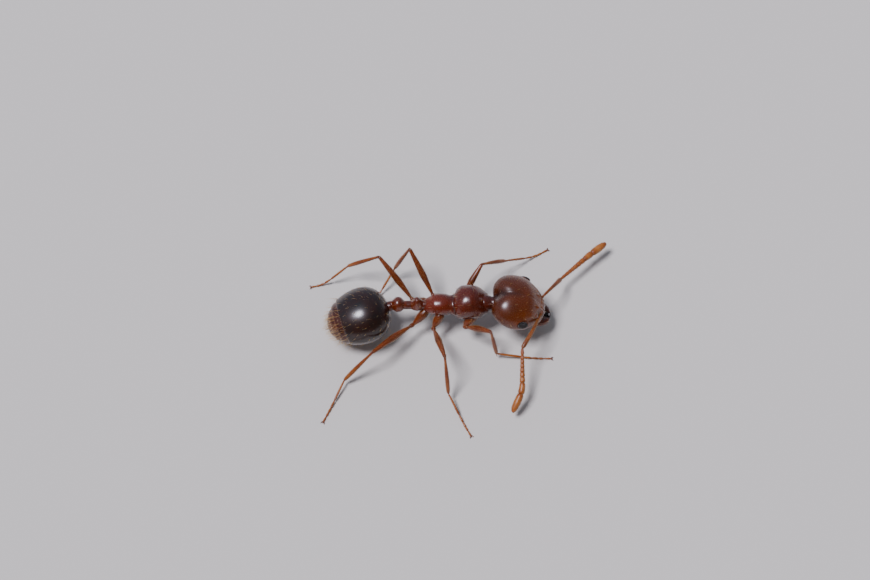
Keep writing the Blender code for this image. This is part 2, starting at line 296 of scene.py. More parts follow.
def tube(name, path, radii, patch, segments, rings, ends, flat=1.0, tone=None, growth=1.0):
    """A limb's piece: its middle runs along path(share) and radii gives (share, radius) from end to end.

    ends says how blunt its two ends are, flat how thick it is up and down beside its width, and tone gives
    (share, tone) like radii.
    """
    made = ball(name, segments, rings)
    remember(made, patch, growth)
    x, y, z = points_of(made).T
    share = (x + 1) / 2
    around = off_axis(y, z)
    stations, sizes = np.array(radii, float).T
    fine = np.linspace(0, 1, 201)
    ease = np.hanning(19)[1:-1]  # a soft brush that rounds the radii off between the stations
    padded = np.pad(np.interp(fine, stations, sizes), len(ease) // 2, mode="edge")
    radius = np.interp(share, fine, np.convolve(padded, ease, "valid") / ease.sum()) * squared(x, ends)
    middle = np.array([path(t) for t in fine])
    along = np.gradient(middle, axis=0)
    along /= np.linalg.norm(along, axis=1)[:, None]
    side = np.cross(along, [0.0, 0.0, 1.0])
    side /= np.maximum(np.linalg.norm(side, axis=1), 1e-6)[:, None]
    over = np.cross(side, along)

    def at_points(table):
        return np.column_stack([np.interp(share, fine, column) for column in table.T])

    sideways = at_points(side) * (y / around * radius)[:, None]
    upwards = at_points(over) * (z / around * radius * flat)[:, None]
    put_points(made, at_points(middle) + (sideways + upwards))
    keep(made, "lie", at_points(along))
    if tone is not None:
        keep(made, "tone", np.interp(share, *np.array(tone, float).T))
    return made


def straight(start, end, bow=NO_BOW):
    """A path from start to end, bowed sideways at its middle."""
    return lambda t: start.lerp(end, t) + bow * (4 * t * (1 - t))


def part_of(path, low, high):
    """The stretch of a path between two shares of it."""
    return lambda t: path(low + (high - low) * t)


# ---------------------------------------------------------------- materials
def linear(code):
    """sRGB hex to a linear colour."""
    channels = [int(code[i : i + 2], 16) / 255 for i in (0, 2, 4)]
    return (*[c / 12.92 if c <= 0.04045 else ((c + 0.055) / 1.055) ** 2.4 for c in channels], 1.0)


def node(tree, kind, options=None, values=None, links=None):
    """Add a shader node, with its options, its inputs' values and what its inputs are linked to."""
    made = tree.nodes.new("ShaderNode" + kind)
    for key, value in (options or {}).items():
        setattr(made, key, value)
    for key, value in (values or {}).items():
        made.inputs[key].default_value = value
    for key, (source, output) in (links or {}).items():
        tree.links.new(source.outputs[output], made.inputs[key])
    return made


def shell(name, dark, middle, pale, rough=(0.20, 0.34), pits=0.0008, glow=0.15, coat=0.25, haze=0.30):
    """Hardened cuticle, which the animal grows of chitin and protein: smooth, clear on top and brown inside.

    dark, middle and pale are its colours from its thickest places to its thinnest, and the same tone also
    carries painted shade in some hollows and under the head, and a painted glow on the head's face. They
    wander in clouds, and light bleeds a little way through it (glow). A thin film of wax gives a second gloss
    (coat, haze), which is a soft halo round each highlight. The real pits of the hairs are 0.01 mm wide and
    the grain between them is finer still, so both are drawn several times coarser than life to show at all.
    """
    made = bpy.data.materials.new(name)
    made.use_nodes = True
    tree = made.node_tree
    tree.nodes.clear()
    place = node(tree, "TexCoord")
    tone = node(tree, "Attribute", {"attribute_name": "tone"})
    clouds = node(tree, "TexNoise", values={"Scale": 1 / (0.35 * MM), "Detail": 4, "Roughness": 0.6},
                  links={"Vector": (place, "Object")})
    grain = node(tree, "TexNoise", values={"Scale": 1 / (0.035 * MM), "Detail": 3},
                 links={"Vector": (place, "Object")})
    cells = node(tree, "TexVoronoi", values={"Scale": 1 / (0.075 * MM), "Randomness": 0.9},
                 links={"Vector": (place, "Object")})
    lift = node(tree, "Math", {"operation": "MULTIPLY_ADD"}, {1: 0.55, 2: -0.275}, {0: (clouds, "Fac")})
    mixed = node(tree, "Math", {"operation": "ADD", "use_clamp": True},
                 links={0: (tone, "Fac"), 1: (lift, 0)})
    ramp = node(tree, "ValToRGB", links={"Fac": (mixed, 0)})
    ramp.color_ramp.elements[0].color = linear(dark)
    ramp.color_ramp.elements[1].color = linear(pale)
    ramp.color_ramp.elements.new(0.5).color = linear(middle)
    roughness = node(tree, "MapRange", values={"To Min": rough[0], "To Max": rough[1]},
                     links={"Value": (grain, "Fac")})
    pit = node(tree, "MapRange", values={"From Max": 0.22}, links={"Value": (cells, "Distance")})
    height = node(tree, "Math", {"operation": "MULTIPLY_ADD"}, {1: 0.5},
                  {0: (grain, "Fac"), 2: (pit, "Result")})
    bump = node(tree, "Bump", values={"Strength": 0.5, "Distance": pits * MM}, links={"Height": (height, 0)})
    surface = node(tree, "BsdfPrincipled", values={
        "IOR": 1.56, "Specular IOR Level": 0.4, "Coat Weight": coat, "Coat Roughness": haze,
        "Subsurface Weight": glow, "Subsurface Radius": (1.0, 0.35, 0.12), "Subsurface Scale": 0.10 * MM,
    }, links={"Base Color": (ramp, "Color"), "Roughness": (roughness, "Result"), "Normal": (bump, "Normal")})
    node(tree, "OutputMaterial", links={"Surface": (surface, "BSDF")})
    return made


# ---------------------------------------------------------------- head
def head_matrix():
    """From the head's frame to where the head stands."""
    turn = Matrix.Rotation(math.radians(HEAD_TURN), 4, "Z") @ Matrix.Rotation(math.radians(HEAD_NOD), 4, "Y")
    return Matrix.Translation(HEAD_CENTRE) @ turn


def head_form(unit):
    """Squarish from above, with a notched back and sides that draw in to the face, and lower at the front."""
    x, y, z = unit.T
    around = off_axis(y, z)
    girth = squared(x, 2.5)
    side = HEAD_WIDTH / 2 * girth * (1 - 0.26 * smooth(-0.15, 1.0, x))
    height = np.where(z > 0, HEAD_TOP * (1 - 0.34 * smooth(0.0, 1.0, x)), HEAD_BOTTOM) * girth
    across = y / around * side
    notch = OCCIPUT_NOTCH * smooth(0.3, 1.0, -x) * bell(across, 0.24)
    return np.column_stack((x * HEAD_LENGTH / 2 + notch, across, z / around * height))


def off_pit(x, out):
    """Distance across the face from the pit of a feeler."""
    return np.hypot(x - 0.53, out - 0.245)


def head_relief(points):
    """The head's furrow, feeler pits, face plate and its ridges, eye rims and mouth, in the head's frame."""
    x, y, z = points.T
    out = np.abs(y)
    top = smooth(-0.02, 0.06, z)
    furrow = -0.007 * bell(y, 0.018) * window(x, -0.55, 0.25, 0.20) * top
    saddle = -0.032 * bell(y, 0.12) * smooth(0.10, -0.45, x) * top
    pit = -0.055 * bell(off_pit(x, out), 0.075) * top
    lobe = 0.034 * bell(out - 0.165, 0.038) * window(x, 0.42, 0.57, 0.12) * top
    trough = -0.012 * bell(y, 0.07) * window(x, 0.36, 0.52, 0.12) * top
    plate_edge = x - 0.50 + 0.5 * np.maximum(out - 0.10, 0)
    plate_line = -0.007 * bell(plate_edge, 0.016) * window(out, -1, 0.40, 0.04) * top
    ridge = 0.015 * bell(out - 0.06 - 0.22 * (x - 0.50), 0.024) * window(x, 0.56, 0.70, 0.07) * top
    seat = np.hypot((x - EYE_PLACE.x) / 0.135, (z - EYE_PLACE.z) / 0.100)
    rim = (0.010 * bell(seat - 1.10, 0.10) - 0.016 * bell(seat - 0.93, 0.06)) * smooth(0.48, 0.54, out)
    cheek = 0.012 * bell(out - 0.42 + 0.3 * (x - 0.3), 0.05) * window(x, 0.25, 0.60, 0.1)
    under = 1 - smooth(-0.06, -0.02, z)
    mouth = -0.07 * window(x, 0.46, 0.80, 0.06) * (1 - smooth(0.17, 0.25, out)) * under
    gula = -0.008 * bell(y, 0.016) * window(x, -0.50, 0.40, 0.08) * under
    return furrow + saddle + pit + lobe + trough + plate_line + ridge + rim + cheek + mouth + gula


def build_head():
    """The head's shell in one piece, with the three teeth on the front edge of its face."""
    head = even_ball("head_shell", 89)
    remember(head, PATCH["head"])
    shape(head, head_form)
    x, y, z = points_of(head).T
    out = np.abs(y)
    emboss(head, head_relief)
    # Darker behind and paler to the face: the face's own warmer colour plus a painted glow of light through
    # it
    tone = 0.52 + 0.30 * smooth(0.1, 0.75, x) - 0.22 * smooth(0.2, -0.7, x)
    # painted shade down the saddle between the lobes at the back
    tone -= 0.25 * bell(y, 0.10) * smooth(0.2, -0.3, x)
    # a dark front edge, and painted shade in the feeler pits
    tone -= 0.30 * window(x, 0.62, 0.80, 0.04) + 0.15 * bell(off_pit(x, out), 0.09)
    keep(head, "tone", tone)
    eye_rim = np.hypot((x - EYE_PLACE.x) / 0.17, (z - EYE_PLACE.z) / 0.14)
    bare = (1 - smooth(1.0, 1.25, eye_rim)) * (out > 0.45) + bell(off_pit(x, out), 0.09)
    keep(head, "growth", (1 - bare) * (1 - 0.6 * smooth(0.0, -0.25, z)) * (1 - bell(y, 0.03)))
    sink(head, SKIN_DEPTH)
    pieces = [head]
    for y in (-0.13, 0.0, 0.13):
        length = 0.075 if y else 0.05
        start = Vector((0.64 - abs(y) * 0.3, y, 0.02))
        tip = start + Vector((length + 0.02, y * 0.25, -0.02))
        radii = [(0, 0.030), (0.5, 0.024), (1, 0.004)]
        pieces.append(tube("face_tooth", straight(start, tip), radii, PATCH["head"], 10, 10, 3,
                           tone=[(0, 0.25), (1, 0.25)]))
    made = join("head_shell", pieces)
    move(made, head_matrix())
    return made


# ---------------------------------------------------------------- trunk and waist
def trunk_form(unit):
    """A high domed front, a groove across the back behind it, and a lower, narrower rear."""
    x, y, z = unit.T
    place = TRUNK_REAR + (x + 1) / 2 * (TRUNK_FRONT - TRUNK_REAR)
    around = off_axis(y, z)
    girth = squared(x, 3.2)
    front = smooth(0.34, 0.66, place)
    dip = bell(place - GROOVE, 0.08)
    neck = smooth(1.06, 1.42, place)
    arch = smooth(0.30, 0.80, place) - 1.44 * smooth(0.82, 1.50, place)
    swell = 0.025 * bell(place - 0.06, 0.20)
    side = (0.275 + 0.155 * front + 0.02 * smooth(0.7, 1.05, place)) * (1 - 0.30 * neck) - 0.035 * dip + swell
    top = 1.27 + 0.24 * arch - 0.07 * dip - 0.10 * smooth(0.02, 0.30, -place)
    low = 0.74 - 0.04 * front + 0.14 * neck
    rise = (top - low) / 2 * girth
    across = 0.02 * front + y / around * side * girth
    return np.column_stack((place, across, (top + low) / 2 + z / around * rise))


def trunk_relief(points):
    """Seams between the trunk's plates, the breathing holes and the swellings over the rear hips."""
    x, y, z = points.T
    out = np.abs(y)
    lean = SEAM_LEAN * (z - 1.25)
    side = smooth(0.10, 0.20, out)
    front_seam = -0.010 * bell(x - PRONOTUM_SEAM + lean, 0.016) * smooth(0.06, 0.30, out)
    groove = -0.030 * bell(x - GROOVE + lean, 0.032) * smooth(0.98, 1.12, z)
    slant = -0.011 * bell((x - 0.34) - 0.75 * (z - 1.05), 0.017) * window(z, 0.74, 0.98, 0.05) * side
    belt = -0.010 * bell(z - 0.96 - 0.16 * (x - 0.7), 0.017) * window(x, 0.52, 0.92, 0.06) * side
    hole = np.hypot(x + 0.02, z - 1.07)
    breath = (0.010 * bell(hole - 0.034, 0.014) - 0.020 * bell(hole, 0.019)) * side
    bulla = 0.020 * bell(np.hypot((x + 0.13) / 1.3, z - 0.86), 0.070) * side
    mound = 0.012 * bell(np.hypot((x - 0.66) / 1.4, z - 0.84), 0.11) * side
    keel = -0.012 * bell(y - 0.01, 0.018) * (1 - smooth(0.80, 0.86, z))
    collar = 0.014 * bell(x - 1.28, 0.026)
    crown = -0.020 * smooth(0.04, 0.26, np.abs(x - 0.08)) * window(x, -0.3, 0.36, 0.05) * smooth(1.0, 1.2, z)
    dome = -0.022 * bell(x - 0.775, 0.13) * smooth(1.20, 1.42, z)
    return front_seam + groove + slant + belt + breath + bulla + mound + keel + collar + crown + dome


def build_trunk():
    """The trunk's shell in one piece, with the bare neck that the head turns on, darkened as painted shade.
    """
    trunk = even_ball("trunk_shell", 79)
    remember(trunk, PATCH["trunk"])
    shape(trunk, trunk_form)
    x, _, z = points_of(trunk).T
    tone = 0.36 - 0.08 * smooth(0.45, 0.9, x) + 0.18 * smooth(0.45, -0.1, x) + 0.12 * smooth(1.0, 0.75, z)
    # painted shade along the groove across the back
    tone -= 0.25 * bell(x - GROOVE + SEAM_LEAN * (z - 1.25), 0.03)
    keep(trunk, "tone", tone)
    keep(trunk, "growth", 0.15 + 0.85 * smooth(0.95, 1.15, z))
    emboss(trunk, trunk_relief)
    sink(trunk, SKIN_DEPTH)
    # the neck's tone darkens towards the head: painted shade between the trunk and the head
    neck = tube("neck", straight(Vector((1.20, 0, 1.02)), Vector((1.56, 0, 1.10))),
                [(0, 0.27), (0.3, 0.215), (0.55, 0.165), (1, 0.15)], PATCH["trunk"], 32, 24, 8,
                tone=[(0, 0.28), (0.5, 0.14), (1, 0.06)], growth=0.0)
    made = join("trunk_shell", [trunk, neck])
    return made


def knot(place, size):
    """Girth of a round knot on its stalk, run together smoothly."""
    swell = size * np.sqrt(np.maximum(1 - (place / 0.17) ** 2, 0))
    return (STALK ** 5 + swell ** 5) ** 0.2


def petiole_form(unit):
    """A long stalk that rises to a high wedge, steeper behind than in front, with a small tooth under it."""
    x, y, z = unit.T
    place = x * 0.27
    around = off_axis(y, z)
    girth = squared(x, 5.0)
    from_knot = place + 0.04
    side = knot(from_knot, 0.162) * girth
    wedge = 0.305 * np.maximum(1 - (np.abs(from_knot) / np.where(from_knot > 0, 0.21, 0.185)) ** 1.8, 0)
    over = (STALK ** 5 + wedge ** 5) ** 0.2 * girth
    under = (0.115 + 0.03 * bell(place - 0.17, 0.035) * bell(y, 0.35)) * girth
    return np.column_stack((PETIOLE_X + place, y / around * side,
                            WAIST_Z - 0.04 + z / around * np.where(z > 0, over, under)))


def postpetiole_form(unit):
    """A rounder, wider knot, taller above its stalk than below it."""
    x, y, z = unit.T
    place = x * 0.24
    around = off_axis(y, z)
    girth = squared(x, 5.0)
    side = knot(place, 0.197) * girth
    over = knot(place, 0.227) * girth
    under = knot(place, 0.157) * girth
    return np.column_stack((POSTPETIOLE_X + place, y / around * side - 0.01,
                            WAIST_Z - 0.01 + z / around * np.where(z > 0, over, under)))


def build_waist():
    """The two knots of the waist, with the bare links between them and to the trunk and the gaster."""
    pieces = []
    for name, form in (("petiole", petiole_form), ("postpetiole", postpetiole_form)):
        piece = even_ball(name + "_shell", 31)
        remember(piece, PATCH[name])
        shape(piece, form)
        height = points_of(piece)[:, 2]
        keep(piece, "tone", 0.62 - 0.25 * smooth(WAIST_Z - 0.05, WAIST_Z + 0.3, height))
        keep(piece, "growth", smooth(WAIST_Z + 0.02, WAIST_Z + 0.10, height))
        sink(piece, SKIN_DEPTH)
        pieces.append(piece)
    links = (
        ("rear_link", Vector((-0.10, 0, 0.98)), Vector((-0.34, 0, 0.98)), 0.115),
        ("middle_link", Vector((-0.56, 0, 0.975)), Vector((-0.78, -0.01, 0.98)), 0.106),
        ("last_link", Vector((-1.04, -0.02, 0.98)), Vector((-1.28, -0.07, 0.94)), 0.125),
    )
    for name, start, end, radius in links:
        pieces.append(tube(name, straight(start, end), [(0, radius), (1, radius)],
                           PATCH["postpetiole"], 20, 10, 8, tone=[(0, 0.3), (1, 0.3)], growth=0.0))
    made = join("waist_shell", pieces)
    return made


# ---------------------------------------------------------------- gaster
def gaster_matrix():
    """From the gaster's frame to where the gaster hangs."""
    turn = Matrix.Rotation(math.radians(180 + GASTER_TURN), 4, "Z")
    droop = Matrix.Rotation(math.radians(GASTER_DROOP), 4, "Y")
    return Matrix.Translation(GASTER_CENTRE) @ turn @ droop


def gaster_radius(share):
    """The egg's girth at a share of half its length."""
    return squared(share, 2.15) * (1 - 0.13 * share)


def build_gaster():
    """Four plates, each tucked under the one in front, the upper half of each lapping over its lower half."""
    edges = [-1.0, *GASTER_SEAMS, 1.0]
    plates = []
    for number, (front, rear) in enumerate(zip(edges, edges[1:]), 1):
        plate = ball("gaster_plate_%d" % number, 128, 96 if number == 1 else 48)
        remember(plate, PATCH["gaster"] + number - 1)
        x, y, z = points_of(plate).T
        start = front if number == 1 else front - 0.12
        share = start + (x + 1) / 2 * (rear - start)
        front_lip = squared(np.minimum(x, 0), 40.0) if number > 1 else 1.0
        rear_lip = squared(np.maximum(x, 0), 40.0) if number < 4 else 1.0
        around = off_axis(y, z)
        tuck = 0.0 if number == 1 else 0.018 * (1 - smooth(front, front + 0.16, share))
        flare = SKIN_DEPTH + tuck + 0.008 * (1 - smooth(rear - 0.2, rear, share))
        lap = 0.008 * smooth(0.0, 0.08, -z / around - 0.42) * smooth(-0.95, -0.6, share)
        girth = gaster_radius(share) * front_lip * rear_lip
        across = np.maximum(girth * GASTER_WIDTH / 2 - flare - lap, 0)
        height = np.maximum(girth * GASTER_HEIGHT / 2 - flare - lap, 0)
        put_points(plate, np.column_stack((
            share * (GASTER_LENGTH / 2 - SKIN_DEPTH), y / around * across, z / around * height)))
        rim = smooth(rear - 0.035, rear - 0.008, share) * (number < 4)
        under = smooth(0.1, 0.9, -z / around)
        warm = 0.42 * smooth(-0.1, 0.8, -z / around)
        keep(plate, "tone", 0.10 + 0.38 * rim + 0.24 * (number > 1) + 0.10 * (number - 1) + warm)
        keep(plate, "growth", smooth(front, front + 0.04, share) * (1 - 0.5 * under))
        keep(plate, "row", window(share, rear - 0.10, rear - 0.05, 0.01) * (number < 4) + (number == 4))
        move(plate, gaster_matrix())
        plates.append(plate)
    return plates


def build_sting():
    """A short needle at the gaster's tip, between two small feeling lobes."""
    end = GASTER_LENGTH / 2
    needle = straight(Vector((end - 0.06, 0, -0.03)), Vector((end + 0.085, 0, -0.035)), Vector((0, 0, 0.008)))
    made = tube("sting", needle, [(0, 0.020), (0.5, 0.013), (1, 0.003)], PATCH["sting"], 10, 14, 4)
    lobes = []
    for side in (1, -1):
        start = Vector((end - 0.08, side * 0.035, -0.05))
        lobes.append(tube("lobe", straight(start, start + Vector((0.075, -side * 0.01, -0.01))),
                          [(0, 0.016), (0.6, 0.018), (1, 0.010)], PATCH["sting"], 8, 8, 3))
    made = join("sting", [made, *lobes])
    move(made, gaster_matrix())
    return made


# ---------------------------------------------------------------- jaws, eyes and mouth
def jaw_form(unit, side):
    """A blade from the cheek to the middle line: a bowed outer edge and a thin inner one, cut into blunt
    teeth that fit between those of the other jaw."""
    x, y, z = unit.T
    share = (x + 1) / 2
    cap = np.maximum(np.sqrt(np.maximum(1 - x * x, 0)), 1e-6)
    across, height = np.clip(y / cap, -1, 1), np.clip(z / cap, -1, 1)
    angle = share * math.pi / 2
    outer = np.column_stack((0.44 + 0.525 * np.sin(angle) ** 1.05, 0.022 + 0.375 * np.cos(angle) ** 0.85))
    along = np.interp(share, [0, 0.42, 1], [0.44, 0.66, 0.955])
    teeth = 0.014 * side * np.cos(2 * math.pi * (along - 0.945) / JAW_PITCH) * smooth(0.64, 0.70, along)
    inner = np.column_stack((along, np.interp(share, [0, 0.30, 1], [0.22, -0.003, -0.003]) + teeth))
    mix = ((across + 1) / 2)[:, None]
    plan = inner * (1 - mix) + outer * mix
    middle = (inner + outer) / 2
    ends = squared(x, 8.0)[:, None]
    plan = middle + (plan - middle) * ends
    thick = 0.100 * (1 - 0.36 * share) * (0.42 + 0.58 * smooth(0.0, 0.7, mix[:, 0])) * ends[:, 0]
    drop = -0.150 - 0.045 * share ** 2
    return np.column_stack((plan[:, 0], side * plan[:, 1], drop + height * thick))


def build_jaw(word):
    """One toothed jaw, grooved along its back and dark along its bite."""
    side = SIDES[word]
    blade = even_ball("mandible_blade_" + word, 59)
    remember(blade, JAW_PATCH[word])
    shape(blade, lambda points: jaw_form(points, side))
    x, y, z = points_of(blade).T
    out = np.abs(y)
    groove = -0.006 * bell(out - 0.32 + 1.8 * (x - 0.60) ** 2, 0.014)
    groove = groove * window(x, 0.55, 0.88, 0.05) * (z > -0.16)
    ends = 0.008 * bell(out, 0.03) * smooth(0.70, 0.76, x) * (z > -0.17)
    emboss(blade, lambda points: groove + ends)
    bite = 0.50 * smooth(0.13, 0.02, out) * smooth(0.62, 0.72, x)
    keep(blade, "tone", 0.55 - bite - 0.15 * smooth(0.75, 0.95, x))
    keep(blade, "growth", smooth(0.05, 0.15, out))
    recalculate(blade)
    move(blade, head_matrix())
    return blade


def build_eye(word):
    """A compound eye: a low dome set with round lenses, one at each corner of a fine geodesic ball."""
    side = SIDES[word]
    place = Vector((EYE_PLACE.x, side * (EYE_PLACE.y - 0.006), EYE_PLACE.z - 0.002))
    half = np.array((0.122, 0.052, 0.098))
    toe = Matrix.Rotation(math.radians(side * -EYE_TOE), 4, "Z")
    tilt = Matrix.Rotation(math.radians(side * EYE_TILT), 4, "X")
    bpy.ops.object.select_all(action="DESELECT")
    bpy.ops.mesh.primitive_ico_sphere_add(subdivisions=4, radius=1)
    seats = points_of(bpy.context.object)
    bpy.data.objects.remove(bpy.context.object, do_unlink=True)
    seats = seats[seats[:, 1] * side > 0.12]
    dome = even_ball("eye_dome", 15)
    remember(dome, PATCH["eye"])
    put_points(dome, points_of(dome) * half)
    bpy.ops.mesh.primitive_ico_sphere_add(subdivisions=2, radius=1)
    lens = bpy.context.object
    blank = points_of(lens)
    faces = [tuple(face.vertices) for face in lens.data.polygons]
    bpy.data.objects.remove(lens, do_unlink=True)
    points = np.concatenate([seat * half + blank * LENS_RADIUS * (1.0, 0.8, 1.0) for seat in seats])
    rings = [tuple(v + len(blank) * n for v in face) for n in range(len(seats)) for face in faces]
    mesh = bpy.data.meshes.new("lenses")
    mesh.from_pydata(points.tolist(), [], rings)
    lenses = bpy.data.objects.new("lenses", mesh)
    bpy.context.scene.collection.objects.link(lenses)
    remember(lenses, PATCH["eye"])
    made = join("compound_eye_" + word, [dome, lenses])
    move(made, head_matrix() @ Matrix.Translation(place) @ (toe @ tilt))
    return made


def build_mouth():
    """What shows under the head between the jaws: the lips, their two covers and the two-jointed palps."""
    pieces = []
    lip = tube("lower_lip", straight(Vector((0.36, 0, -0.31)), Vector((0.66, 0, -0.23))),
               [(0, 0.06), (0.6, 0.075), (1, 0.045)], PATCH["mouth"], 20, 16, 4, 0.6)
    flap = tube("upper_lip", straight(Vector((0.60, 0, -0.085)), Vector((0.74, 0, -0.13))),
                [(0, 0.09), (0.7, 0.085), (1, 0.05)], PATCH["mouth"], 20, 12, 4, 0.3)
    pieces += [lip, flap]
    for side in (1, -1):
        cover = straight(Vector((0.32, side * 0.13, -0.30)), Vector((0.64, side * 0.09, -0.23)))
        pieces.append(tube("cover", cover, [(0, 0.05), (0.5, 0.055), (1, 0.035)],
                           PATCH["mouth"], 16, 14, 4, 0.7))
        root = Vector((0.58, side * 0.12, -0.27))
        bend = root + Vector((0.055, side * 0.035, -0.02))
        tip = bend + Vector((0.075, -side * 0.01, 0.0))
        pieces.append(tube("palp", straight(root, bend), [(0, 0.010), (1, 0.013)], PATCH["mouth"], 8, 8, 4))
        pieces.append(tube("palp", straight(bend, tip), [(0, 0.009), (0.7, 0.013), (1, 0.006)],
                           PATCH["mouth"], 8, 8, 4))
    made = join("mouth_parts", pieces)
    move(made, head_matrix())
    return made


# ---------------------------------------------------------------- legs and feelers
HIP_REACH = {
    "front": Vector((0.26, -0.24, 0.30)),
    "mid": Vector((0.22, -0.28, 0.32)),
    "hind": Vector((0.34, -0.22, 0.34)),
}
FRONT_COXA = [(0, 0.10), (0.28, 0.140), (0.6, 0.120), (0.88, 0.070), (1, 0.055)]
COXA = [(0, 0.09), (0.30, 0.115), (0.6, 0.100), (0.88, 0.062), (1, 0.050)]
FEMUR = [(0, 0.036), (0.10, 0.046), (0.40, 0.084), (0.66, 0.068), (0.90, 0.048), (1, 0.050)]
TIBIA = [(0, 0.040), (0.06, 0.036), (0.14, 0.031), (0.40, 0.045), (0.70, 0.053), (0.94, 0.046), (1, 0.040)]
FIRST_TOE = [(0, 0.030), (0.08, 0.024), (0.5, 0.027), (1, 0.031)]
MIDDLE_TOE = [(0, 0.018), (0.2, 0.020), (0.8, 0.028), (1, 0.027)]
LAST_TOE = [(0, 0.015), (0.3, 0.018), (0.8, 0.025), (1, 0.020)]
TOES = (FIRST_TOE, MIDDLE_TOE, MIDDLE_TOE, MIDDLE_TOE, LAST_TOE)
TOE_ENDS = (0.0, 0.46, 0.62, 0.74, 0.83, 0.97)  # joints of the foot, as shares of its length on the floor
TOE_FALL = (1.0, 0.30, 0.10, 0.02, 0.0, 0.0)  # their height, as shares of the ankle's
SOLE = 0.028  # height of the foot's middle over the floor
CLAW = 0.075


def build_leg(pair, word, patch):
    """One leg through the joints of its solids: hip, trochanter, thigh, shin, spur and a foot of five joints.

    Returns it with the place of its last joint and the way its foot points.
    """
    side = SIDES[word]
    name = "leg_%s_%s" % (pair, word)
    tip = meeting(name + "_coxa", name + "_femur")
    knee = meeting(name + "_femur", name + "_tibia")
    ankle = meeting(name + "_tibia", name + "_tarsus")
    toe = far_end(name + "_tarsus", ankle)
    inwards = HIP_REACH[pair]
    hip = tip + Vector((inwards.x, side * inwards.y, inwards.z))
    thigh = (knee - tip).normalized()
    shin = (ankle - knee).normalized()
    dark_ends = [(0, 0.25), (0.12, 0.46), (0.45, 0.30), (0.80, 0.48), (0.94, 0.50), (1, 0.25)]
    pieces = [
        tube("coxa", straight(hip, tip), FRONT_COXA if pair == "front" else COXA, patch, 28, 22, 4,
             tone=[(0, 0.22), (0.6, 0.42), (1, 0.50)]),
        tube("trochanter", straight(tip - thigh * 0.03, tip + thigh * 0.13),
             [(0, 0.042), (0.5, 0.056), (1, 0.044)], patch, 20, 12, 4,
             tone=[(0, 0.30), (0.5, 0.45), (1, 0.28)]),
        tube("femur", straight(tip + thigh * 0.10, knee, Vector((0, 0, 0.03))), FEMUR, patch + 1, 24, 34, 7,
             tone=dark_ends),
        tube("tibia", straight(knee - shin * 0.015, ankle, Vector((0, 0, 0.015))), TIBIA, patch + 2,
             20, 30, 7, tone=[(0, 0.28), (0.10, 0.66), (0.5, 0.55), (0.95, 0.68), (1, 0.40)]),
    ]
    reach = 0.16 if pair == "front" else 0.09
    start = ankle - shin * 0.045
    down = Vector((0, 0, -0.035))
    spur = straight(start + down, start + down * 1.4 + shin * reach, Vector((0, 0, -0.012)))
    pieces.append(tube("spur", spur, [(0, 0.012), (0.4, 0.009), (1, 0.002)], patch + 2, 8, 10, 3,
                       tone=[(0, 0.8), (1, 0.9)]))
    level = Vector((toe.x - ankle.x, toe.y - ankle.y, 0))
    joints = []
    for share, fall in zip(TOE_ENDS, TOE_FALL):
        height = SOLE + (ankle.z - SOLE) * fall
        joints.append(Vector((ankle.x, ankle.y, height)) + level * share * (1 - CLAW / level.length))
    for one, other, radii in zip(joints, joints[1:], TOES):
        lap = (other - one).normalized() * 0.012
        rings = 14 if radii is FIRST_TOE else 10
        pieces.append(tube("toe", straight(one - lap, other + lap * 0.4), radii, patch + 3, 14, rings, 4,
                           tone=[(0, 0.62), (0.5, 0.80), (1, 0.60)]))
    made = join(name + "_skin", pieces)
    return made, joints[-1], level.normalized()


def build_claws(feet):
    """Two hooked claws and a soft pad on each foot."""
    pieces = []
    for foot, ahead in feet:
        side = Vector((-ahead.y, ahead.x, 0))
        for hand in (1, -1):
            start = foot + side * hand * 0.010
            tip = foot + ahead * CLAW * 0.92 + side * hand * 0.045
            tip.z = 0.004
            bow = Vector((0, 0, 0.016)) + side * hand * 0.010
            radii = [(0, 0.013), (0.4, 0.010), (1, 0.002)]
            pieces.append(tube("claw", straight(start, tip, bow), radii, PATCH["claw"], 10, 14, 3))
        pad = foot + ahead * 0.012
        pieces.append(tube("pad", straight(pad, pad + ahead * 0.035 + Vector((0, 0, -0.008))),
                           [(0, 0.008), (0.7, 0.016), (1, 0.012)], PATCH["claw"], 10, 8, 3, 0.6))
    made = join("claws", pieces)
    return made


def bent(one, corner, other):
    """A path through a corner, rounded there, measured along its length."""
    soft = 0.16  # how far from the corner the rounding starts
    first, second = (corner - one).length, (other - corner).length
    total = first + second

    def path(t):
        run = t * total - first
        if abs(run) > soft:
            return corner + ((other - corner) / second if run > 0 else (corner - one) / first) * run
        share = (run + soft) / (2 * soft)
        before = corner - (corner - one) / first * soft
        after = corner + (other - corner) / second * soft
        return before.lerp(corner, share).lerp(corner.lerp(after, share), share)

    return path


def feeler_socket(head, side):
    """The bottom of the pit that a feeler stands in."""
    back = (Matrix.Translation(SHIFT) @ head_matrix()).inverted()
    points = points_of(head)
    local = points @ np.array(back.to_3x3()).T + np.array(back.translation)
    apart = np.hypot(local[:, 0] - SOCKET[0], local[:, 1] - side * SOCKET[1]) + 10 * (local[:, 2] < 0)
    return Vector(points[apart.argmin()])


SCAPE = [(0, 0.040), (0.035, 0.042), (0.08, 0.026), (0.25, 0.034), (0.65, 0.046), (0.93, 0.057), (1, 0.050)]
FEELER_JOINTS = (0.19, 0.110, 0.105, 0.105, 0.115, 0.125, 0.145, 0.30, 0.54)


